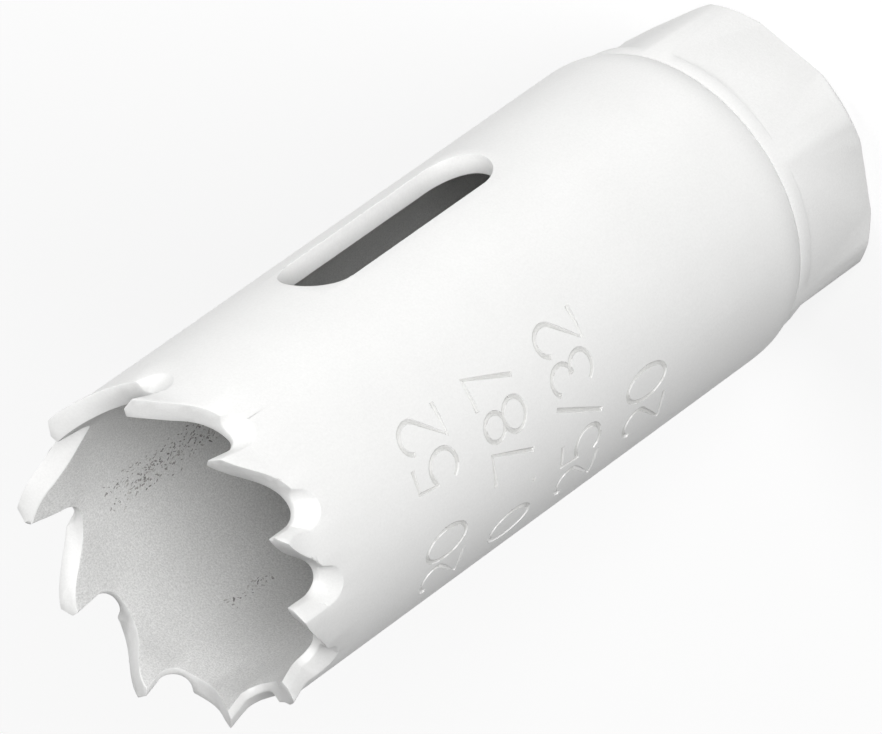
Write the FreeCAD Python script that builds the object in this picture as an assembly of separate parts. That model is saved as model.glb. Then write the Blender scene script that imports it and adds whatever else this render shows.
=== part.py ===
import FreeCAD, Part
import math
import os

# A small bimetal hole saw for a 20 mm hole. A thin toothed tube is pressed over the plug of a
# turned cap and welded there. The cap has hexagon flats for a wrench and a threaded bore for the
# arbor. It stands on the cap's back face, teeth up. Millimetres, +Z towards the teeth, the origin
# in the middle of the back face, and the chip slot faces -Y.

# The saw tube
saw_diameter = 20.0
saw_length = 52.0
wall = 1.25

# The rolled lower end of the tube, where it meets the cap
tube_start = 7.35
shoulder_height = 2.4
shoulder_inset = 0.65

# The chip slot, one long opening with round ends
slot_width = 4.9
slot_length = 16.2
slot_middle = 29.2
slot_angle = -90.0

# The teeth. Their pitch, depth and set differ round the rim so that the saw runs smoothly. Each
# pattern starts at the first tooth: the turn to the next one, the depth of the gullet between them
# as a share of the tooth height, the tooth's lean outwards and the fall of its back, in degrees.
first_tip_angle = -49.4
pitch_pattern = (42, 35, 37, 38, 36, 33, 27, 33, 36, 43)
depth_pattern = (1.0, 1.0, 1.0, 0.76, 0.88, 1.0, 0.95, 1.0, 0.92, 1.0)
set_pattern = (6, 27, 8, 22, 12, 19, 6, 27, 5, 19)
relief_pattern = (17, 17, 17, 14, 30, 17, 17, 17, 18, 20)
tooth_height = 2.95
hook_angle = 7.0
gullet_radius = 0.95
set_bend_radius = 4.0
set_rise = 0.15

# The back of each tooth is higher on the outside of the tube, and so is its cutting edge. The
# teeth were ground after they were set, so their ends tip less than they lean. The floor patterns
# give how far each gullet stays low behind its round, as a share of the run to the next tip.
edge_bevel = 0.25
end_tip = 0.4
inner_floor_pattern = (0.45, 0.45, 0.55, 0.6, 0.45, 0.45, 0.42, 0.47, 0.66, 0.45)
outer_floor_pattern = (0.3, 0.3, 0.45, 0.6, 0.3, 0.3, 0.42, 0.48, 0.64, 0.35)
outer_relief_loss = 6.0
back_pull = 0.42

# The scoop ground into the outer edge of each gullet and rake face
scoop_land = 0.5
scoop_trail = 0.65
scoop_fall = 1.05
scoop_radius = 1.2
scoop_side_angle = 60.0

# The cap
hex_across_flats = 17.2
cap_diameter = 19.0
hex_length = 6.35
hex_turn = 23.25
back_chamfer = 0.65
plug_fit = 0.0
plug_length = 4.0
plug_chamfer = 0.5

# The thread of the arbor bore, 1/2 inch with 20 threads to the inch, drilled to its crests
thread_minor_diameter = 11.4
thread_relief_diameter = 12.9
thread_chamfer = 0.75

margin = 1.0
stock = 0.8
tool_reach = 0.25
curve_steps = 6

outer_radius = saw_diameter / 2
inner_radius = outer_radius - wall


def turned(points):
    """Turn a closed outline of (radius, height) points round the saw's axis."""
    corners = [FreeCAD.Vector(r, 0, z) for r, z in points]
    outline = Part.makePolygon(corners + [corners[0]])
    return Part.Face(outline).revolve(FreeCAD.Vector(0, 0, 0), FreeCAD.Vector(0, 0, 1), 360)


def at(radius, height):
    return FreeCAD.Vector(radius, 0, height)


def line(a, b):
    return Part.makeLine(a, b)


def arc(a, middle, b):
    return Part.Arc(a, middle, b).toShape()


def set_lean(z, tooth):
    """The lean of a tooth at this level and how far its set has moved it out, as a slope and a size."""
    angle = math.radians(tooth["set"])
    height = z - tooth["bend_level"]
    if height <= 0:
        return 0.0, 0.0
    turn = min(angle, math.asin(min(1, height / set_bend_radius)))
    out = set_bend_radius * (1 - math.cos(turn))
    return math.tan(turn), out + (height - set_bend_radius * math.sin(turn)) * math.tan(turn)


def set_teeth():
    """The angle of each tooth's tip, its pitch to the next, its gullet's depth, its set and bend."""
    scale = 360 / sum(pitch_pattern)
    angle = first_tip_angle
    teeth = []
    patterns = zip(pitch_pattern, depth_pattern, set_pattern, relief_pattern)
    for k, (pitch, share, lean, relief) in enumerate(patterns):
        shallow = min(share, depth_pattern[k - 1]) * tooth_height
        teeth.append({
            "angle": angle,
            "pitch": pitch * scale,
            "depth": share * tooth_height,
            "set": lean,
            "relief": relief,
            "bend_level": saw_length - shallow + set_rise,
        })
        angle += pitch * scale
    return teeth


def tube_outline(tooth):
    """The tube's wall in section at a tooth: rolled in below on an arc, and bent out above."""
    start = tube_start + shoulder_height
    inset = outer_radius - shoulder_inset
    roll_radius = (shoulder_inset**2 + shoulder_height**2) / (2 * shoulder_inset)
    half_turn = math.asin(shoulder_height / roll_radius) / 2
    middle_r = outer_radius - roll_radius * (1 - math.cos(half_turn))
    middle = at(middle_r, start - roll_radius * math.sin(half_turn))
    angle = math.radians(tooth["set"])
    levels = [tooth["bend_level"] + set_bend_radius * math.sin(angle * part) for part in (0, 0.5, 1)]
    levels.append(saw_length + stock)
    inner = [at(inner_radius + set_lean(z, tooth)[1], z) for z in levels]
    outer = [at(outer_radius + set_lean(z, tooth)[1], z) for z in levels]
    return [
        line(at(inner_radius, tube_start), at(inset, tube_start)),
        arc(at(inset, tube_start), middle, at(outer_radius, start)),
        line(at(outer_radius, start), outer[0]),
        arc(outer[0], outer[1], outer[2]),
        line(outer[2], outer[3]),
        line(outer[3], inner[3]),
        line(inner[3], inner[2]),
        arc(inner[2], inner[1], inner[0]),
        line(inner[0], at(inner_radius, tube_start)),
    ]


def blank_tube(teeth):
    """The tube before its gaps are cut: one sector for each tooth, side by side."""
    floor_turn = math.degrees(gullet_radius / outer_radius)
    sectors = []
    for k, tooth in enumerate(teeth):
        turn = teeth[k - 1]["pitch"]
        face = Part.Face(Part.Wire(tube_outline(tooth)))
        sector = face.revolve(FreeCAD.Vector(0, 0, 0), FreeCAD.Vector(0, 0, 1), turn)
        start = tooth["angle"] - turn + floor_turn
        sector.rotate(FreeCAD.Vector(0, 0, 0), FreeCAD.Vector(0, 0, 1), start)
        sectors.append(sector)
    return sectors[0].multiFuse(sectors[1:]).removeSplitter()


def arc_points(centre, radius, start, end):
    """Points (along, up) on an arc, its angles in radians."""
    points = []
    for k in range(curve_steps + 1):
        angle = start + (end - start) * k / curve_steps
        points.append((centre[0] + radius * math.cos(angle), centre[1] + radius * math.sin(angle)))
    return points


def rake_and_gullet(depth, radius, trail, drop):
    """A rake face from its tip, this far back and down, and the quarter round below it."""
    hook = math.radians(hook_angle)
    rake = (depth - radius * (1 + math.sin(hook))) / math.cos(hook)
    centre = (radius * math.cos(hook) - rake * math.sin(hook) - trail, radius - depth)
    gullet = arc_points(centre, radius, math.pi - hook, 1.5 * math.pi)
    tip = (-trail - drop * math.tan(hook), -drop)
    return [[tip, gullet[0]], gullet], centre


def tooth_back(floor, tip, floor_pull, relief):
    """The rise from the gullet's floor to the next tip, hollow below and full above."""
    run = tip[0] - floor[0]
    reach = back_pull * run
    poles = (
        floor,
        (floor[0] + floor_pull * run, floor[1]),
        (tip[0] - reach * math.cos(relief), tip[1] - reach * math.sin(relief)),
        tip,
    )
    points = []
    for k in range(curve_steps + 1):
        t = k / curve_steps
        weights = ((1 - t) ** 3, 3 * t * (1 - t) ** 2, 3 * t * t * (1 - t), t**3)
        points.append(tuple(sum(w * p[i] for w, p in zip(weights, poles)) for i in (0, 1)))
    return points


def gap_outline(pitch, depth, drop, floor_pull, relief):
    """The gap between two tips, as pieces of (along, up) points, its tips this far down."""
    front, centre = rake_and_gullet(depth, gullet_radius, 0.0, drop)
    tip = front[0][0]
    end = (tip[0] + pitch, tip[1])
    return front, [tooth_back((centre[0], -depth), end, floor_pull, math.radians(relief))]


def scoop_outline(depth, radius, trail):
    """The scoop: a rake face, a round bottom and a side that leans away from the rake face."""
    front, centre = rake_and_gullet(depth, radius, trail, 0.0)
    lean = math.radians(scoop_side_angle)
    rise = arc_points(centre, radius, 1.5 * math.pi, 1.5 * math.pi + lean)
    end = rise[-1]
    side = [end, (end[0] - end[1] / math.tan(lean), 0.0)]
    return front, [rise, side]


def on_planes(inner, outer, near, far):
    """Carry the straight line through two points to the planes x = near and x = far."""
    along = outer - inner
    return [inner + along * ((x - inner.x) / along.x) for x in (near, far)]


def curve(points):
    if len(points) == 2:
        return line(points[0], points[1])
    spline = Part.BSplineCurve()
    spline.interpolate(points)
    return spline.toShape()


def ruled_tool(inner_outline, outer_outline, inner_r, teeth, tip_share):
    """A cutter whose faces are ruled from one outline at inner_r to another on the tube's outside.

    The points are measured round the outside and move out with each tooth's set, and the lines
    between them tip with this share of its lean. Above the tips the sides of a cutter lean apart,
    so that two that meet there overlap.
    """
    half_turn = math.radians(teeth[0]["pitch"] / 2)
    half = half_turn * outer_radius
    near = inner_r * math.cos(half_turn) - tool_reach
    far = outer_radius + max(set_lean(saw_length, tooth)[1] for tooth in teeth) + margin

    def place(radius, along, z):
        angle = (along - half) / outer_radius
        return FreeCAD.Vector(radius * math.cos(angle), radius * math.sin(angle), z)

    pieces = []
    for inside, outside, tooth in zip(inner_outline, outer_outline, teeth):
        for inner_points, outer_points in zip(inside, outside):
            piece = []
            for p, q in zip(inner_points, outer_points):
                slope, out = set_lean(saw_length + q[1], tooth)
                z = saw_length + p[1] + tip_share * slope * (outer_radius - inner_r)
                inner_out = set_lean(z, tooth)[1]
                outer_out = out if tip_share else inner_out
                inner = place(inner_r + inner_out, p[0], z)
                outer = place(outer_radius + outer_out, q[0], saw_length + q[1])
                piece.append(on_planes(inner, outer, near, far))
            pieces.append(piece)
    wires = []
    for plane in (0, 1):
        edges = [curve([pair[plane] for pair in piece]) for piece in pieces]
        first = pieces[0][0][plane]
        last = pieces[-1][-1][plane]
        top = saw_length + stock + margin
        first_top = FreeCAD.Vector(first.x, first.y - tool_reach, top)
        last_top = FreeCAD.Vector(last.x, last.y + tool_reach, top)
        closing = [line(last, last_top), line(last_top, first_top), line(first_top, first)]
        wires.append(Part.Wire(edges + closing))
    return Part.makeLoft(wires, True, True)


def gap_tools(teeth):
    """The cutters of all the gaps, two for each: one straight through and one for its scoop."""
    tools = []
    for k, tooth in enumerate(teeth):
        pair = (tooth, teeth[(k + 1) % len(teeth)])
        pitch = math.radians(tooth["pitch"]) * outer_radius
        depth = tooth["depth"]
        inner_pull, outer_pull = inner_floor_pattern[k], outer_floor_pattern[k]
        relief = pair[1]["relief"]
        inner_gap = gap_outline(pitch, depth, edge_bevel, inner_pull, relief)
        outer_gap = gap_outline(pitch, depth, 0.0, outer_pull, relief - outer_relief_loss)
        through = ruled_tool(inner_gap, outer_gap, inner_radius, pair, end_tip)
        inner_scoop = scoop_outline(depth, gullet_radius, 0.0)
        outer_scoop = scoop_outline(depth + scoop_fall, scoop_radius, scoop_trail)
        scoop = ruled_tool(inner_scoop, outer_scoop, inner_radius + scoop_land, pair, 0.0)
        turn = tooth["angle"] + tooth["pitch"] / 2
        for tool in (through, scoop):
            tool.rotate(FreeCAD.Vector(0, 0, 0), FreeCAD.Vector(0, 0, 1), turn)
            tools.append(tool)
    return tools


def slot_tool():
    """An obround through one wall, its round ends along the tube."""
    radius = slot_width / 2
    straight = slot_length - slot_width
    box = Part.makeBox(
        outer_radius + margin,
        slot_width,
        straight,
        FreeCAD.Vector(0, -radius, slot_middle - straight / 2),
    )
    ends = []
    for side in (-1, 1):
        centre = FreeCAD.Vector(0, 0, slot_middle + side * straight / 2)
        ends.append(Part.makeCylinder(radius, outer_radius + margin, centre, FreeCAD.Vector(1, 0, 0)))
    tool = box.multiFuse(ends).removeSplitter()
    tool.rotate(FreeCAD.Vector(0, 0, 0), FreeCAD.Vector(0, 0, 1), slot_angle)
    return tool


def saw_tube():
    teeth = set_teeth()
    cut = blank_tube(teeth).cut(gap_tools(teeth))
    return cut.cut(slot_tool()).removeSplitter()


def end_cap():
    """The cap: a hexagon with turned corners, a collar that the tube rests on, and a plug."""
    plug_radius = inner_radius - plug_fit
    plug_top = tube_start + plug_length
    cap_radius = cap_diameter / 2
    blank = turned([
        (0, 0),
        (cap_radius - back_chamfer, 0),
        (cap_radius, back_chamfer),
        (cap_radius, tube_start),
        (plug_radius, tube_start),
        (plug_radius, plug_top - plug_chamfer),
        (plug_radius - plug_chamfer, plug_top),
        (0, plug_top),
    ])
    ring = Part.makeCylinder(saw_diameter, hex_length, FreeCAD.Vector(0, 0, 0))
    corner = hex_across_flats / math.sqrt(3)
    corners = []
    for k in range(7):
        angle = math.radians(hex_turn + 60 * k)
        corners.append(FreeCAD.Vector(corner * math.cos(angle), corner * math.sin(angle), 0))
    hexagon = Part.Face(Part.makePolygon(corners)).extrude(FreeCAD.Vector(0, 0, hex_length))
    flats = ring.cut(hexagon)
    minor = thread_minor_diameter / 2
    mouth = thread_relief_diameter / 2
    bore = turned([
        (0, -margin),
        (mouth + margin, -margin),
        (mouth + margin, 0),
        (mouth, 0),
        (minor, thread_chamfer),
        (minor, plug_top - thread_chamfer),
        (mouth, plug_top),
        (mouth + margin, plug_top),
        (mouth + margin, plug_top + margin),
        (0, plug_top + margin),
    ])
    return blank.cut(flats).cut(bore).removeSplitter()


os.makedirs("parts", exist_ok=True)
nodes = {"saw_tube": saw_tube(), "end_cap": end_cap()}
for name, shape in nodes.items():
    print(name, shape.isValid(), len(shape.Solids), round(shape.Volume, 2))
    shape.exportStep("parts/" + name + ".step")
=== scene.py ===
"""The looks of a small hole saw: white enamel over a toothed steel tube and its hexagon cap."""

import math

import bmesh
import bpy
from mathutils import Matrix, Vector


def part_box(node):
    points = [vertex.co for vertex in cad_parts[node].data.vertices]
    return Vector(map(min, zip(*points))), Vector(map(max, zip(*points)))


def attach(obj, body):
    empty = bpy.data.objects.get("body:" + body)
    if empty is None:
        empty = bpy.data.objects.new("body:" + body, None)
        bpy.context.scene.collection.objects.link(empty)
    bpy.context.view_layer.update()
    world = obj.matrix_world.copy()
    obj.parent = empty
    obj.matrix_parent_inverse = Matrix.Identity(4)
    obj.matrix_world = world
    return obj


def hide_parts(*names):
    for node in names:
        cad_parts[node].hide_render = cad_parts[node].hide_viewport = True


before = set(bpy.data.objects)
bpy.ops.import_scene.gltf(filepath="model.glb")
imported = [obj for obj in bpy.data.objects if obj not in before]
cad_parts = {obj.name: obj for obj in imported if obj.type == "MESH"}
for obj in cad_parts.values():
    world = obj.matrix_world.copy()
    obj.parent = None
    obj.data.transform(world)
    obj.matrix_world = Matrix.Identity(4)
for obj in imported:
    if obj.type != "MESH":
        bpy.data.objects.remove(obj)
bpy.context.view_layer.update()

bl_info = {
    "name": "Hole Saw Finish",
    "version": (1, 0, 0),
    "blender": (4, 5, 0),
    "location": "3D View > Sidebar > Hole Saw",
    "description": "Dresses the packed hole saw in enamel, with its thread, numbers and weld seam",
    "category": "Object",
}

MM = 0.001

ENAMEL_WHITE = "F1F1F0"
# The inside colour is greyer than the outside enamel: in part painted shade of the tube's hollow.
INSIDE_ENAMEL_AND_SHADE = "E4E4E3"
# The colour in the stamped strokes is painted shade: greyer enamel that darkens the grooves.
STROKE_PAINTED_SHADE = "DADAD8"
WELD_GREY = "A4A2A0"
FLOOR_PAPER = "828282"

# The tube's wall, from the axis.
TUBE_RADIUS = 10 * MM
BORE_RADIUS = 8.75 * MM

# Merging the frame's loose triangles, and the edges that count as sharp, in degrees.
MERGE_DISTANCE = 0.002 * MM
SPLIT_DISTANCE = 0.001 * MM
FLAT_ANGLE = 0.05
ROUNDED_ANGLE = 35
SHADED_ANGLE = 28

# Heights in mm where the tube's long facets are split, so that a rounded tooth edge bends only
# its own end.
RING_HEIGHTS = (46.5, 46, 45.5, 45, 44.5, 44, 43.5, 43, 42, 40, 37.5, 35, 30, 25, 20.5, 15)

# The roll at the tube's lower end: how high it starts, how far the end comes in, and the radius
# outside which the wall follows it.
ROLL_RISE = 2.4 * MM
ROLL_INSET = 0.52 * MM
ROLL_SKIN = 9.3 * MM

# The stamped rows: text, angle of the first sign, angle from sign to sign (degrees), foot.
NUMBER_ROWS = (
    ("20 52", 144, 13.6, 37.8 * MM),
    ("0.787", 144, 13.6, 31.85 * MM),
    ("25/32", 144, 13.6, 26.05 * MM),
    ("20", 149, 14.5, 20.3 * MM),
)
DIGIT_WIDTH = 0.6  # as a share of the digit's height

# Where the faces of the stamped strokes lie: from the axis, up the tube, and on the -X side. These
# faces take the greyer enamel that paints the grooves' shade.
GROOVE_RADII = (9.8 * MM, 9.97 * MM)
GROOVE_HEIGHTS = (18 * MM, 42 * MM)
GROOVE_SIDE = -8 * MM

# How far the tap that cuts the arbor thread stands past the cap at each end.
TAP_OVERRUN = 0.2 * MM

# The soft boxes, all as large and as far off, face this height on the saw's axis. In metres.
BOX_SIZE = 0.35
BOX_DISTANCE = 0.6
BOX_AIM = 0.028
SKY_LEVEL = 0.08
FLOOR_HALF_SIZE = 3.0
PAPER_GLOW = 0.8


def linear(code):
    """An sRGB hex code as linear red, green and blue."""
    parts = [int(code[i:i + 2], 16) / 255 for i in (0, 2, 4)]
    return tuple(p / 12.92 if p <= 0.04045 else ((p + 0.055) / 1.055) ** 2.4 for p in parts)


def add_node(tree, kind, settings=None, **links):
    """Adds a node, sets its properties, and fills its inputs.

    An input takes a value, a socket, or the first output of a node. It goes by its name, or by i
    and its number.
    """
    node = tree.nodes.new(kind)
    for name, value in (settings or {}).items():
        setattr(node, name, value)
    for name, value in links.items():
        numbered = name[0] == "i" and name[1:].isdigit()
        key = int(name[1:]) if numbered else name.replace("_", " ")
        if isinstance(value, bpy.types.Node):
            value = value.outputs[0]
        if isinstance(value, bpy.types.NodeSocket):
            tree.links.new(value, node.inputs[key])
        else:
            node.inputs[key].default_value = value
    return node


def bow(x, y, wide, high, start, stop, steps=14):
    """Points along part of an ellipse, from one angle in degrees to another."""
    turns = [math.radians(start + (stop - start) * i / steps) for i in range(steps + 1)]
    return [(x + wide * math.cos(a), y + high * math.sin(a)) for a in turns]


def digit_strokes(sign):
    """The strokes of a punched digit or mark, as runs of points on a cell one unit high."""
    shapes = {
        "0": [bow(0.3, 0.5, 0.3, 0.5, 0, 360, 28)],
        "2": [bow(0.3, 0.72, 0.28, 0.28, 165, -35) + [(0, 0), (0.6, 0)]],
        "3": [bow(0.28, 0.74, 0.27, 0.26, 150, -90), bow(0.28, 0.26, 0.31, 0.26, 90, -150)],
        "5": [[(0.54, 1), (0.1, 1), (0.05, 0.56)] + bow(0.27, 0.32, 0.31, 0.32, 125, -145)],
        "7": [[(0, 1), (0.6, 1), (0.2, 0)]],
        "8": [bow(0.3, 0.76, 0.25, 0.24, 0, 360, 22), bow(0.3, 0.26, 0.3, 0.26, 0, 360, 22)],
        "/": [[(0.02, -0.05), (0.58, 1.05)]],
        ".": [[(0.26, 0.0), (0.34, 0.0)]],
    }
    return shapes[sign]


def mesh_object(name, mesh):
    """A new object in the scene that shows this mesh."""
    obj = bpy.data.objects.new(name, mesh)
    bpy.context.scene.collection.objects.link(obj)
    return obj


def is_sharp(edge, degrees):
    """True for a real edge; a needle of a triangle has no normal worth reading."""
    if len(edge.link_faces) != 2:
        return True
    smallest = min(face.calc_area() for face in edge.link_faces)
    needle = smallest < MERGE_DISTANCE * edge.calc_length()
    return not needle and edge.calc_face_angle(0) > math.radians(degrees)


def cad_copy(node, name, edge_round, reshape=None):
    """A merged copy of a CAD node's loose triangles with its sharp edges rounded."""
    form = bmesh.new()
    form.from_mesh(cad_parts[node].data)
    bmesh.ops.remove_doubles(form, verts=form.verts, dist=MERGE_DISTANCE)
    bmesh.ops.dissolve_degenerate(form, edges=form.edges, dist=MERGE_DISTANCE)
    if reshape:
        reshape(form)
    bmesh.ops.dissolve_limit(form, angle_limit=math.radians(FLAT_ANGLE), verts=form.verts,
                             edges=form.edges, use_dissolve_boundaries=False)
    for height in RING_HEIGHTS:
        bmesh.ops.bisect_plane(form, geom=form.verts[:] + form.edges[:] + form.faces[:],
                               dist=SPLIT_DISTANCE, plane_co=(0, 0, height * MM),
                               plane_no=(0, 0, 1))
    sharp = [edge for edge in form.edges if is_sharp(edge, ROUNDED_ANGLE)]
    bmesh.ops.bevel(form, geom=sharp, offset=edge_round, offset_type="OFFSET", segments=2,
                    profile=0.5, affect="EDGES", clamp_overlap=False)
    bmesh.ops.triangulate(form, faces=form.faces)
    mesh = bpy.data.meshes.new(name)
    form.to_mesh(mesh)
    form.free()
    if mesh.has_custom_normals:
        mesh.attributes.remove(mesh.attributes["custom_normal"])
    return mesh_object(name, mesh)


def roll_end(form):
    """Rolls the tube's lower end in late and round, so that it meets the collar flush."""
    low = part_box("saw_tube")[0]
    for vert in form.verts:
        radius, share = vert.co.xy.length, 1 - (vert.co.z - low.z) / ROLL_RISE
        if radius > ROLL_SKIN and share > 0:
            vert.co.xy *= (TUBE_RADIUS - ROLL_INSET * share ** 3) / radius


def settle(obj):
    """Turns an object's modifiers into plain mesh."""
    evaluated = obj.evaluated_get(bpy.context.evaluated_depsgraph_get())
    mesh = bpy.data.meshes.new_from_object(evaluated)
    obj.modifiers.clear()
    obj.data = mesh
    return obj


def cut_away(obj, cutter):
    """Cuts one closed mesh out of another."""
    step = obj.modifiers.new("cut", "BOOLEAN")
    step.object = cutter
    step.operation = "DIFFERENCE"
    step.solver = "EXACT"
    step.use_self = True
    settle(obj)
    bpy.data.objects.remove(cutter)


def smooth_by_angle(obj, degrees):
    """Shades faces smooth, apart from edges sharper than the angle."""
    form = bmesh.new()
    form.from_mesh(obj.data)
    for face in form.faces:
        face.smooth = True
    for edge in form.edges:
        edge.smooth = not is_sharp(edge, degrees)
    form.to_mesh(obj.data)
    form.free()


def node_tree(name, inputs):
    """A new Geometry Nodes tree that takes a mesh and the named inputs."""
    tree = bpy.data.node_groups.new(name, "GeometryNodeTree")
    tree.interface.new_socket("Geometry", in_out="INPUT", socket_type="NodeSocketGeometry")
    for label, kind, value in inputs:
        socket = tree.interface.new_socket(label, in_out="INPUT", socket_type="NodeSocket" + kind)
        if value is not None:
            socket.default_value = value
    tree.interface.new_socket("Geometry", in_out="OUTPUT", socket_type="NodeSocketGeometry")
    start = tree.nodes.new("NodeGroupInput")
    return tree, start


def finish_tree(tree, geometry, material):
    """Ends a tree in real geometry with its material."""
    real = add_node(tree, "GeometryNodeRealizeInstances", Geometry=geometry)
    painted = add_node(tree, "GeometryNodeSetMaterial", Geometry=real, Material=material)
    end = tree.nodes.new("NodeGroupOutput")
    tree.links.new(painted.outputs[0], end.inputs[0])


def grow(obj, tree, values):
    """Runs a tree on an object with its inputs set by socket identifier."""
    step = obj.modifiers.new("grow", "NODES")
    step.node_group = tree
    for item in tree.interface.items_tree:
        if item.in_out == "INPUT" and item.name in values:
            step[item.identifier] = values[item.name]
    return settle(obj)


class TubeLook(bpy.types.PropertyGroup):
    mark_height: bpy.props.FloatProperty(
        name="Number height", description="Height of the stamped numbers",
        default=3.35 * MM, unit="LENGTH")
    mark_radius: bpy.props.FloatProperty(
        name="Punch nose", description="Radius of the round nose that pressed each stroke",
        default=0.18 * MM, unit="LENGTH")
    mark_depth: bpy.props.FloatProperty(
        name="Number depth", description="How deep the strokes are pressed",
        default=0.12 * MM, unit="LENGTH")
    outside: bpy.props.FloatVectorProperty(
        name="Enamel", description="Colour of the enamel outside",
        default=linear(ENAMEL_WHITE), subtype="COLOR")
    # This colour is greyer than the enamel outside, and that grey paints in part the shade in the
    # tube's hollow.
    inside: bpy.props.FloatVectorProperty(
        name="Inside", description="Colour of the thin coat inside the tube",
        default=linear(INSIDE_ENAMEL_AND_SHADE), subtype="COLOR")
    # This colour paints the shade of the stamped grooves, so that the figures read.
    stroke: bpy.props.FloatVectorProperty(
        name="Stamping", description="Colour of the dusty enamel in the stamped strokes",
        default=linear(STROKE_PAINTED_SHADE), subtype="COLOR")
    edge_round: bpy.props.FloatProperty(
        name="Edge rounding", description="How far the enamel rounds each cut edge",
        default=0.07 * MM, unit="LENGTH")


class SeamLook(bpy.types.PropertyGroup):
    angle: bpy.props.FloatProperty(
        name="Seam angle", description="Where the strip's ends were welded, seen from above",
        default=math.radians(-2), subtype="ANGLE")
    half_width: bpy.props.FloatProperty(
        name="Half width", description="Half the width of the rough band, as an angle",
        default=math.radians(8), subtype="ANGLE")
    bead: bpy.props.FloatProperty(
        name="Bead size", description="Radius of a middling bead of weld spatter",
        default=0.055 * MM, unit="LENGTH")
    colour: bpy.props.FloatVectorProperty(
        name="Weld scale", description="Colour of the scaled beads",
        default=linear(WELD_GREY), subtype="COLOR")


class CapLook(bpy.types.PropertyGroup):
    pitch: bpy.props.FloatProperty(
        name="Thread pitch", description="Rise of the arbor thread in one turn",
        default=1.27 * MM, unit="LENGTH")
    crest: bpy.props.FloatProperty(
        name="Crest radius", description="Radius of the thread's crests",
        default=5.71 * MM, unit="LENGTH")
    depth: bpy.props.FloatProperty(
        name="Thread depth", description="From the crests out to the roots",
        default=0.6 * MM, unit="LENGTH")
    edge_round: bpy.props.FloatProperty(
        name="Edge rounding", description="How far the enamel rounds each turned edge",
        default=0.1 * MM, unit="LENGTH")


class StageLook(bpy.types.PropertyGroup):
    distance: bpy.props.FloatProperty(
        name="Camera distance", description="From the lens to the point it looks at",
        default=645.73 * MM, unit="LENGTH")
    azimuth: bpy.props.FloatProperty(
        name="Camera azimuth", description="Direction of the camera seen from above",
        default=math.radians(-148.6227), subtype="ANGLE")
    elevation: bpy.props.FloatProperty(
        name="Camera elevation", description="Height of the camera as an angle",
        default=math.radians(38.2755), subtype="ANGLE")
    roll: bpy.props.FloatProperty(
        name="Camera roll", description="How far the camera is turned about its own view",
        default=math.radians(-125.5742), subtype="ANGLE")
    aim: bpy.props.FloatProperty(
        name="Aim height", description="Height on the saw's axis that the camera looks at",
        default=27.967 * MM, unit="LENGTH")
    lens: bpy.props.FloatProperty(
        name="Lens", description="Focal length on a sensor 36 mm wide",
        default=469.18, unit="CAMERA")


def enamel(name, colour, grain_mm, grain_depth_mm, tone):
    """Satin enamel sprayed on steel: a fine pebbled skin that scatters the light softly.

    The tone is how far the colour drops between the pebbles. They are drawn a little coarser
    than sprayed enamel has them, so that they show. A broad cloud of 4 mm keeps large plain
    areas from looking flat.
    """
    material = bpy.data.materials.new(name)
    material.use_nodes = True
    tree = material.node_tree
    shader = tree.nodes["Principled BSDF"]
    shader.inputs["Roughness"].default_value = 0.42
    shader.inputs["IOR"].default_value = 1.5
    place = add_node(tree, "ShaderNodeTexCoord").outputs["Object"]
    grain = add_node(tree, "ShaderNodeTexNoise", Vector=place, Scale=1 / (grain_mm * MM),
                     Detail=3.0, Roughness=0.6)
    cloud = add_node(tree, "ShaderNodeTexNoise", Vector=place, Scale=1 / (4 * MM), Detail=2.0)
    fine = add_node(tree, "ShaderNodeMapRange", i0=grain,
                    From_Min=0.3, From_Max=0.7, To_Min=1 - tone, To_Max=1.0)
    broad = add_node(tree, "ShaderNodeMapRange", i0=cloud,
                     From_Min=0.3, From_Max=0.7, To_Min=0.98, To_Max=1.0)
    shade = add_node(tree, "ShaderNodeMath", {"operation": "MULTIPLY"}, i0=fine, i1=broad)
    tint = add_node(tree, "ShaderNodeMix", {"data_type": "RGBA", "blend_type": "MULTIPLY"},
                    i0=1.0, i6=(*colour, 1), i7=shade)
    tree.links.new(tint.outputs[2], shader.inputs["Base Color"])
    bump = add_node(tree, "ShaderNodeBump", Height=grain, Strength=1.0,
                    Distance=grain_depth_mm * MM)
    tree.links.new(bump.outputs[0], shader.inputs["Normal"])
    return material


def weld_scale(colour):
    """Scaled weld metal under thin overspray: dull dark grains with hardly any shine."""
    material = bpy.data.materials.new("scaled weld beads")
    material.use_nodes = True
    tree = material.node_tree
    shader = tree.nodes["Principled BSDF"]
    shader.inputs["Roughness"].default_value = 0.7
    place = add_node(tree, "ShaderNodeTexCoord").outputs["Object"]
    patch = add_node(tree, "ShaderNodeTexNoise", Vector=place, Scale=1 / (0.5 * MM))
    shade = add_node(tree, "ShaderNodeMapRange", i0=patch,
                     From_Min=0.35, From_Max=0.65, To_Min=0.5, To_Max=1.3)
    tint = add_node(tree, "ShaderNodeMix", {"data_type": "RGBA", "blend_type": "MULTIPLY"},
                    i0=1.0, i6=(*colour, 1), i7=shade)
    tree.links.new(tint.outputs[2], shader.inputs["Base Color"])
    return material


def number_cutter(look, rows, radius):
    """Round-nosed strokes of every row, laid flat and then wrapped round the tube."""
    flat = bmesh.new()
    tall = look.mark_height
    for text, start, advance, foot in rows:
        for place, sign in enumerate(text):
            if sign == " ":
                continue
            left = math.radians(start + advance * place) * radius - tall * DIGIT_WIDTH / 2
            for stroke in digit_strokes(sign):
                verts = [flat.verts.new((left + x * tall, 0, foot + y * tall)) for x, y in stroke]
                for a, b in zip(verts, verts[1:]):
                    flat.edges.new((a, b))
    mesh = bpy.data.meshes.new("strokes")
    flat.to_mesh(mesh)
    flat.free()
    return grow(mesh_object("strokes", mesh), stroke_tree(), {
        "Tube radius": radius, "Nose radius": look.mark_radius,
        "Centre radius": radius + look.mark_radius - look.mark_depth})


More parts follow.
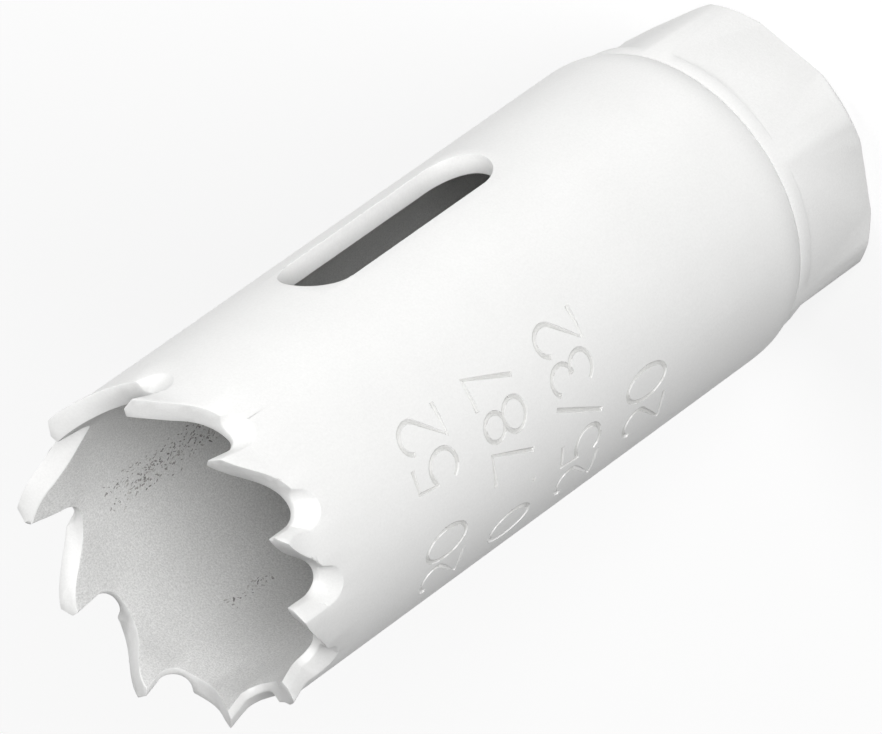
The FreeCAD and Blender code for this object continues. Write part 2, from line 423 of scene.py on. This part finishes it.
def stroke_tree():
    """Wraps flat strokes round the tube and sweeps the punch's round nose along them."""
    tree, start = node_tree("punch_strokes", [
        ("Tube radius", "Float", 0.01), ("Nose radius", "Float", 0.0002),
        ("Centre radius", "Float", 0.01)])
    at = add_node(tree, "GeometryNodeInputPosition")
    along, _, up = add_node(tree, "ShaderNodeSeparateXYZ", Vector=at).outputs
    angle = add_node(tree, "ShaderNodeMath", {"operation": "DIVIDE"},
                     i0=along, i1=start.outputs["Tube radius"])
    east = add_node(tree, "ShaderNodeMath", {"operation": "COSINE"}, i0=angle)
    north = add_node(tree, "ShaderNodeMath", {"operation": "SINE"}, i0=angle)
    x = add_node(tree, "ShaderNodeMath", {"operation": "MULTIPLY"},
                 i0=east, i1=start.outputs["Centre radius"])
    y = add_node(tree, "ShaderNodeMath", {"operation": "MULTIPLY"},
                 i0=north, i1=start.outputs["Centre radius"])
    place = add_node(tree, "ShaderNodeCombineXYZ", X=x, Y=y, Z=up)
    wrapped = add_node(tree, "GeometryNodeSetPosition", Geometry=start.outputs["Geometry"],
                       Position=place)
    lines = add_node(tree, "GeometryNodeMeshToCurve", Mesh=wrapped)
    nose = add_node(tree, "GeometryNodeCurvePrimitiveCircle", Resolution=8,
                    Radius=start.outputs["Nose radius"])
    swept = add_node(tree, "GeometryNodeCurveToMesh", Curve=lines, Profile_Curve=nose,
                     Fill_Caps=True)
    finish_tree(tree, swept, bpy.data.materials.new("cutter"))
    return tree


def tap_tree():
    """A tap: a rod with a right-handed V thread that runs out at both ends."""
    tree, start = node_tree("arbor_tap", [
        ("Crest", "Float", 0.0057), ("Depth", "Float", 0.0006), ("Pitch", "Float", 0.00127),
        ("Foot", "Float", 0.0), ("Top", "Float", 0.01)])
    pitch = start.outputs["Pitch"]
    length = add_node(tree, "ShaderNodeMath", {"operation": "SUBTRACT"},
                      i0=start.outputs["Top"], i1=start.outputs["Foot"])
    rod = add_node(tree, "GeometryNodeMeshCylinder", Vertices=72, Side_Segments=110, Radius=1.0,
                   Depth=length)
    at = add_node(tree, "GeometryNodeInputPosition")
    x, y, level = add_node(tree, "ShaderNodeSeparateXYZ", Vector=at).outputs
    half = add_node(tree, "ShaderNodeMath", {"operation": "MULTIPLY"}, i0=length, i1=0.5)
    height = add_node(tree, "ShaderNodeMath", {"operation": "ADD"}, i0=level, i1=half)

    # The wave runs from crest to root and back once for each turn of the thread.
    around = add_node(tree, "ShaderNodeMath", {"operation": "ARCTAN2"}, i0=y, i1=x)
    turn = add_node(tree, "ShaderNodeMath", {"operation": "DIVIDE"}, i0=around, i1=2 * math.pi)
    turns = add_node(tree, "ShaderNodeMath", {"operation": "DIVIDE"}, i0=height, i1=pitch)
    phase = add_node(tree, "ShaderNodeMath", {"operation": "SUBTRACT"}, i0=turns, i1=turn)
    wave = add_node(tree, "ShaderNodeMath", {"operation": "PINGPONG"}, i0=phase, i1=0.5)
    vee = add_node(tree, "ShaderNodeMapRange", i0=wave, From_Min=0.06, From_Max=0.44)

    # The thread fades out over its last turn at each end.
    low = add_node(tree, "ShaderNodeMapRange", i0=height, From_Min=0.0, From_Max=pitch)
    left = add_node(tree, "ShaderNodeMath", {"operation": "SUBTRACT"}, i0=length, i1=height)
    high = add_node(tree, "ShaderNodeMapRange", i0=left, From_Min=0.0, From_Max=pitch)
    fade = add_node(tree, "ShaderNodeMath", {"operation": "MINIMUM"}, i0=low, i1=high)
    cut = add_node(tree, "ShaderNodeMath", {"operation": "MULTIPLY"}, i0=vee, i1=fade)
    rise = add_node(tree, "ShaderNodeMath", {"operation": "MULTIPLY"},
                    i0=cut, i1=start.outputs["Depth"])
    radius = add_node(tree, "ShaderNodeMath", {"operation": "ADD"},
                      i0=start.outputs["Crest"], i1=rise)
    east = add_node(tree, "ShaderNodeMath", {"operation": "MULTIPLY"}, i0=x, i1=radius)
    north = add_node(tree, "ShaderNodeMath", {"operation": "MULTIPLY"}, i0=y, i1=radius)
    up = add_node(tree, "ShaderNodeMath", {"operation": "ADD"},
                  i0=height, i1=start.outputs["Foot"])
    place = add_node(tree, "ShaderNodeCombineXYZ", X=east, Y=north, Z=up)
    shaped = add_node(tree, "GeometryNodeSetPosition", Geometry=rod, Position=place)
    finish_tree(tree, shaped, bpy.data.materials.new("tap"))
    return tree


def bead_tree():
    """Strews flattened weld beads along a band inside the tube."""
    tree, start = node_tree("weld_beads", [
        ("Wall radius", "Float", 0.00875), ("Seam angle", "Float", 0.0),
        ("Half width", "Float", 0.14), ("Foot", "Float", 0.02), ("Top", "Float", 0.047),
        ("Count", "Int", 260), ("Bead size", "Float", 0.0001), ("Seed", "Int", 7),
        ("Scale", "Material", None)])

    # The draws of each bead: two that add up to its place across, then its place up the band,
    # its width, its length and its lean.
    spans = ((-0.5, 0.5), (-0.5, 0.5), (0.0, 1.0), (0.35, 1.0), (0.7, 2.6), (-0.8, 0.8))
    draws = []
    for step, (least, most) in enumerate(spans, 1):
        seed = add_node(tree, "ShaderNodeMath", {"operation": "ADD"},
                        i0=start.outputs["Seed"], i1=step)
        draw = add_node(tree, "FunctionNodeRandomValue", {"data_type": "FLOAT"},
                        i2=least, i3=most, i8=seed)
        draws.append(draw.outputs[1])
    across_one, across_two, rise, width, length, lean = draws

    aside = add_node(tree, "ShaderNodeMath", {"operation": "ADD"}, i0=across_one, i1=across_two)
    angle = add_node(tree, "ShaderNodeMath", {"operation": "MULTIPLY_ADD"}, i0=aside,
                     i1=start.outputs["Half width"], i2=start.outputs["Seam angle"])
    span = add_node(tree, "ShaderNodeMath", {"operation": "SUBTRACT"},
                    i0=start.outputs["Top"], i1=start.outputs["Foot"])
    up = add_node(tree, "ShaderNodeMath", {"operation": "MULTIPLY_ADD"},
                  i0=rise, i1=span, i2=start.outputs["Foot"])
    east = add_node(tree, "ShaderNodeMath", {"operation": "COSINE"}, i0=angle)
    north = add_node(tree, "ShaderNodeMath", {"operation": "SINE"}, i0=angle)
    x = add_node(tree, "ShaderNodeMath", {"operation": "MULTIPLY"},
                 i0=east, i1=start.outputs["Wall radius"])
    y = add_node(tree, "ShaderNodeMath", {"operation": "MULTIPLY"},
                 i0=north, i1=start.outputs["Wall radius"])
    place = add_node(tree, "ShaderNodeCombineXYZ", X=x, Y=y, Z=up)
    points = add_node(tree, "GeometryNodePoints", Count=start.outputs["Count"], Position=place)
    bead = add_node(tree, "GeometryNodeMeshIcoSphere", Radius=start.outputs["Bead size"],
                    Subdivisions=2)
    outward = add_node(tree, "ShaderNodeCombineXYZ", X=east, Y=north)
    upright = add_node(tree, "FunctionNodeAlignRotationToVector", {"axis": "X"}, Vector=outward)
    size = add_node(tree, "ShaderNodeCombineXYZ", X=0.4, Y=width, Z=length)
    laid = add_node(tree, "GeometryNodeInstanceOnPoints", Points=points, Instance=bead,
                    Rotation=upright, Scale=size)
    tilt = add_node(tree, "ShaderNodeCombineXYZ", X=lean)
    turned = add_node(tree, "GeometryNodeRotateInstances", Instances=laid, Rotation=tilt)
    finish_tree(tree, turned, start.outputs["Scale"])
    return tree


class HOLESAW_OT_seam(bpy.types.Operator):
    """Strews the beads of the tube's weld seam along its inner wall"""
    bl_idname = "holesaw.seam"
    bl_label = "Weld seam"

    def execute(self, context):
        look = context.scene.hole_saw_seam
        scale = weld_scale(look.colour)
        bands = (
            ("weld_seam", look.angle, look.half_width, 13 * MM, 47 * MM, 900, 7),
            ("weld_spatter", look.angle + math.radians(60), math.radians(4),
             40 * MM, 44 * MM, 40, 3),
        )
        for name, angle, half_width, foot, top, count, seed in bands:
            beads = grow(mesh_object(name, bpy.data.meshes.new(name)), bead_tree(), {
                "Wall radius": BORE_RADIUS, "Seam angle": angle, "Half width": half_width,
                "Foot": foot, "Top": top, "Count": count, "Bead size": look.bead,
                "Seed": seed, "Scale": scale})
            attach(beads, "root")
        return {"FINISHED"}


class HOLESAW_OT_tube(bpy.types.Operator):
    """Makes the enamelled tube with its stamped numbers"""
    bl_idname = "holesaw.tube"
    bl_label = "Toothed tube"

    def execute(self, context):
        look = context.scene.hole_saw_tube
        tube = cad_copy("saw_tube", "toothed_tube", look.edge_round, roll_end)
        cut_away(tube, number_cutter(look, NUMBER_ROWS, TUBE_RADIUS))
        smooth_by_angle(tube, SHADED_ANGLE)

        # Outside, a full coat: white and even, with a soft sheen. Inside, only what drifted in:
        # gritty, and greyer, and that grey is in part painted shade of the hollow. In the strokes,
        # the full coat made greyer as painted shade of the grooves, so that the figures read.
        tube.data.materials.clear()
        coats = (("white satin enamel", look.outside, 0.14, 0.009, 0.05),
                 ("thin enamel with painted shade", look.inside, 0.1, 0.02, 0.3),
                 ("enamel with painted shade in the stamping", look.stroke, 0.14, 0.009, 0.1))
        for coat in coats:
            tube.data.materials.append(enamel(*coat))
        for face in tube.data.polygons:
            centre = face.center
            facing_in = centre.xy.normalized().dot(face.normal.xy) < -0.8
            in_shaded_stroke = (GROOVE_RADII[0] < centre.xy.length < GROOVE_RADII[1]
                         and GROOVE_HEIGHTS[0] < centre.z < GROOVE_HEIGHTS[1]
                         and centre.x < GROOVE_SIDE)
            face.material_index = 1 if facing_in else 2 if in_shaded_stroke else 0
        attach(tube, "root")
        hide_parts("saw_tube")
        return {"FINISHED"}


class HOLESAW_OT_cap(bpy.types.Operator):
    """Makes the hexagon cap with the thread cut in its bore"""
    bl_idname = "holesaw.cap"
    bl_label = "Hexagon cap"

    def execute(self, context):
        look = context.scene.hole_saw_cap
        low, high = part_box("end_cap")
        cap = cad_copy("end_cap", "hexagon_cap", look.edge_round)
        tap = grow(mesh_object("tap", bpy.data.meshes.new("tap")), tap_tree(), {
            "Crest": look.crest, "Depth": look.depth, "Pitch": look.pitch,
            "Foot": low.z - TAP_OVERRUN, "Top": high.z + TAP_OVERRUN})
        cut_away(cap, tap)
        smooth_by_angle(cap, SHADED_ANGLE)

        # The same full coat as on the tube, so that the two read as one finish.
        cap.data.materials.clear()
        cap.data.materials.append(enamel("white satin enamel on turned steel",
                                         context.scene.hole_saw_tube.outside, 0.14, 0.009, 0.05))
        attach(cap, "root")
        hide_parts("end_cap")
        return {"FINISHED"}


def aim_camera(stage):
    """Sets the camera where the photograph was taken from."""
    towards = Vector((0, 0, stage.aim))
    out = Vector((math.cos(stage.elevation) * math.cos(stage.azimuth),
                  math.cos(stage.elevation) * math.sin(stage.azimuth),
                  math.sin(stage.elevation)))
    side = (-out).cross(Vector((0, 0, 1))).normalized()
    over = side.cross(-out)
    right = side * math.cos(stage.roll) + over * math.sin(stage.roll)
    above = over * math.cos(stage.roll) - side * math.sin(stage.roll)
    data = bpy.data.cameras.new("camera")
    data.sensor_fit = "HORIZONTAL"
    data.sensor_width = 36
    data.lens = stage.lens
    data.clip_start = 0.01
    data.clip_end = 20
    camera = bpy.data.objects.new("camera", data)
    bpy.context.scene.collection.objects.link(camera)
    turn = Matrix((right, above, out)).transposed().to_4x4()
    camera.matrix_world = Matrix.Translation(towards + out * stage.distance) @ turn
    bpy.context.scene.camera = camera


def soft_lamp(name, azimuth, elevation, power):
    """A square soft box that faces the saw from this direction, in degrees."""
    data = bpy.data.lights.new(name, "AREA")
    data.size = BOX_SIZE
    data.energy = power
    lamp = bpy.data.objects.new(name, data)
    bpy.context.scene.collection.objects.link(lamp)
    around, up = math.radians(azimuth), math.radians(elevation)
    out = Vector((math.cos(up) * math.cos(around), math.cos(up) * math.sin(around),
                  math.sin(up)))
    turn = out.to_track_quat("Z", "Y").to_matrix().to_4x4()
    lamp.matrix_world = Matrix.Translation(Vector((0, 0, BOX_AIM)) + out * BOX_DISTANCE) @ turn


def white_floor(name):
    """Matt white paper on a light table: pure white past the saw, with the saw's soft shadow.

    It glows for the camera and in reflections, and gives the object none of that light. Shadow
    rays pass it, so that the lamp below lights the saw from underneath.
    """
    material = bpy.data.materials.new(name)
    material.use_nodes = True
    tree = material.node_tree
    shader = tree.nodes["Principled BSDF"]
    shader.inputs["Base Color"].default_value = (*linear(FLOOR_PAPER), 1)
    shader.inputs["Roughness"].default_value = 0.9
    shader.inputs["Specular IOR Level"].default_value = 0.0
    ray = add_node(tree, "ShaderNodeLightPath").outputs
    seen = add_node(tree, "ShaderNodeMath", {"operation": "MAXIMUM"},
                    i0=ray["Is Camera Ray"], i1=ray["Is Glossy Ray"])
    seen = add_node(tree, "ShaderNodeMath", {"operation": "MAXIMUM"},
                    i0=seen, i1=ray["Is Transmission Ray"])
    level = add_node(tree, "ShaderNodeMath", {"operation": "MULTIPLY"}, i0=seen, i1=PAPER_GLOW)
    glow = add_node(tree, "ShaderNodeEmission", Color=(1, 1, 1, 1), Strength=level)
    paper = add_node(tree, "ShaderNodeAddShader", i0=shader, i1=glow)
    clear = add_node(tree, "ShaderNodeBsdfTransparent")
    both = add_node(tree, "ShaderNodeMixShader", i0=ray["Is Shadow Ray"], i1=paper, i2=clear)
    tree.links.new(both.outputs[0], tree.nodes["Material Output"].inputs["Surface"])
    return material


class HOLESAW_OT_stage(bpy.types.Operator):
    """Sets the floor, the soft boxes, the sky and the camera"""
    bl_idname = "holesaw.stage"
    bl_label = "Studio"

    def execute(self, context):
        floor_form = bmesh.new()
        bmesh.ops.create_grid(floor_form, x_segments=1, y_segments=1, size=FLOOR_HALF_SIZE)
        mesh = bpy.data.meshes.new("floor")
        floor_form.to_mesh(mesh)
        floor_form.free()
        floor = mesh_object("floor", mesh)
        floor.data.materials.append(white_floor("matt white paper"))
        soft_lamp("front_box", -156, 30, 3.55)
        soft_lamp("side_box", -50, 36, 1.95)
        soft_lamp("light_table", -109, -34, 1.2)
        world = bpy.data.worlds.new("studio")
        world.use_nodes = True
        sky = world.node_tree.nodes["Background"]
        sky.inputs[0].default_value = (1, 1, 1, 1)
        sky.inputs[1].default_value = SKY_LEVEL
        context.scene.world = world
        context.scene.view_settings.view_transform = "Standard"
        aim_camera(context.scene.hole_saw_stage)
        return {"FINISHED"}


class HOLESAW_PT_panel(bpy.types.Panel):
    bl_label = "Hole Saw"
    bl_idname = "HOLESAW_PT_panel"
    bl_space_type = "VIEW_3D"
    bl_region_type = "UI"
    bl_category = "Hole Saw"

    def draw(self, context):
        for maker in MAKERS:
            self.layout.operator(maker.bl_idname)
        scene = context.scene
        looks = (scene.hole_saw_tube, scene.hole_saw_seam, scene.hole_saw_cap,
                 scene.hole_saw_stage)
        for look in looks:
            for name in look.__annotations__:
                self.layout.prop(look, name)


MAKERS = (HOLESAW_OT_stage, HOLESAW_OT_tube, HOLESAW_OT_seam, HOLESAW_OT_cap)
CLASSES = (TubeLook, SeamLook, CapLook, StageLook, *MAKERS, HOLESAW_PT_panel)


def register():
    for item in CLASSES:
        bpy.utils.register_class(item)
    bpy.types.Scene.hole_saw_tube = bpy.props.PointerProperty(type=TubeLook)
    bpy.types.Scene.hole_saw_seam = bpy.props.PointerProperty(type=SeamLook)
    bpy.types.Scene.hole_saw_cap = bpy.props.PointerProperty(type=CapLook)
    bpy.types.Scene.hole_saw_stage = bpy.props.PointerProperty(type=StageLook)


def unregister():
    del bpy.types.Scene.hole_saw_stage
    del bpy.types.Scene.hole_saw_cap
    del bpy.types.Scene.hole_saw_seam
    del bpy.types.Scene.hole_saw_tube
    for item in reversed(CLASSES):
        bpy.utils.unregister_class(item)


def main():
    register()
    bpy.ops.holesaw.stage()
    bpy.ops.holesaw.tube()
    bpy.ops.holesaw.seam()
    bpy.ops.holesaw.cap()


if __name__ == "__main__":
    main()
